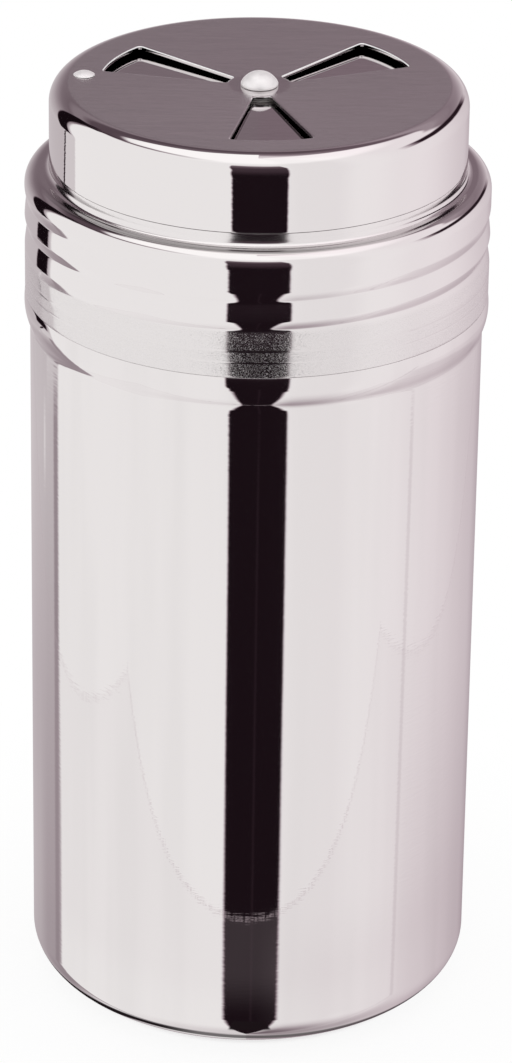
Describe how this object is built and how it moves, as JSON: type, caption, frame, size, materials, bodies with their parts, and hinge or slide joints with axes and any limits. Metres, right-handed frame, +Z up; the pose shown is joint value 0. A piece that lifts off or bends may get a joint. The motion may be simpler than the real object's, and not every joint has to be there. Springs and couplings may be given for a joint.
{
  "type": "dry seasoning shaker",
  "caption": "Steel seasoning shaker: a drawn canister with a screw lid, and a riveted dial on the lid that turns to open or close its fan-shaped openings.",
  "frame": {"origin": "centre of the ring that the canister stands on, in the plane it rests on", "axes": "+Z up along the shaker's axis; -Y towards the front, where the middle opening of the closed dial lies; +X to the right seen from the front"},
  "size_m": [0.0666, 0.0666, 0.1421],
  "materials": {
    "canister_steel": "polished stainless steel, mirror-like, with faint drawn lines",
    "lid_steel": "polished stainless steel, slightly orange-peeled round the skirt",
    "dial_steel": "polished stainless steel with faint straight brushing on its flat top",
    "rivet_steel": "polished stainless steel",
    "spring_steel": "plain spring steel, satin",
    "spacer_nylon": "natural nylon, matte",
    "gasket_rubber": "food-grade silicone, matte"
  },
  "bodies": {
    "canister": {"canister": "canister_steel"},
    "gasket": {"lid_gasket": "gasket_rubber"},
    "lid": {"screw_lid": "lid_steel", "pivot_rivet": "rivet_steel", "spring_washer": "spring_steel", "backing_washer": "rivet_steel", "spacer_washer": "spacer_nylon"},
    "dial": {"dial_cap": "dial_steel", "thumb_stud": "rivet_steel"}
  },
  "joints": [
    {"name": "lid_lift", "type": "slide", "parent": "canister", "child": "gasket", "axis": [0, 0, 1], "range_m": [0, 0.021]},
    {"name": "lid_turn", "type": "hinge", "parent": "gasket", "child": "lid", "pos_m": [0, 0, 0.12], "axis": [0, 0, 1], "range_deg": [0, 1800]},
    {"name": "dial_turn", "type": "hinge", "parent": "lid", "child": "dial", "pos_m": [0, 0, 0.14], "axis": [0, 0, 1], "range_deg": [0, 60]}
  ],
  "couplings": [
    {"joint": "lid_lift", "follows": "lid_turn", "m_per_rad": 0.00066845}
  ]
}
